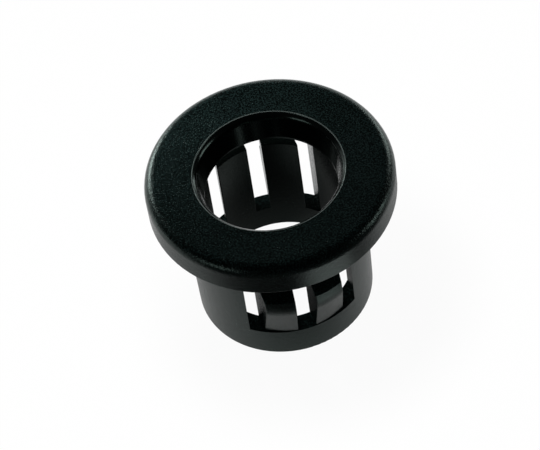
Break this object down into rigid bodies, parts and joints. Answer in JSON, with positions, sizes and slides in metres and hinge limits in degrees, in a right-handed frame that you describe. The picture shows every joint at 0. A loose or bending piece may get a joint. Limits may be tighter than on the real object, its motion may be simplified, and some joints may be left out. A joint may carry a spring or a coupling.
{
  "type": "snap-in panel bushing",
  "caption": "Flanged round bushing with a slotted barrel and spring fingers that snap into a panel hole, to line it for a cable or tube.",
  "frame": {"origin": "centre of the barrel's open end, on the axis of the bore, so that the bushing stands on that end", "axes": "+Z along the bore axis, from the open end to the flange; +Y and -Y through the middle slot of each group of snap fingers"},
  "size_m": [0.0168, 0.0168, 0.0123],
  "materials": {
    "nylon": "satin black moulded nylon, fine grain on the flange, smoother inside the bore"
  },
  "bodies": {
    "root": {"snap_bushing": "nylon"}
  },
  "joints": []
}
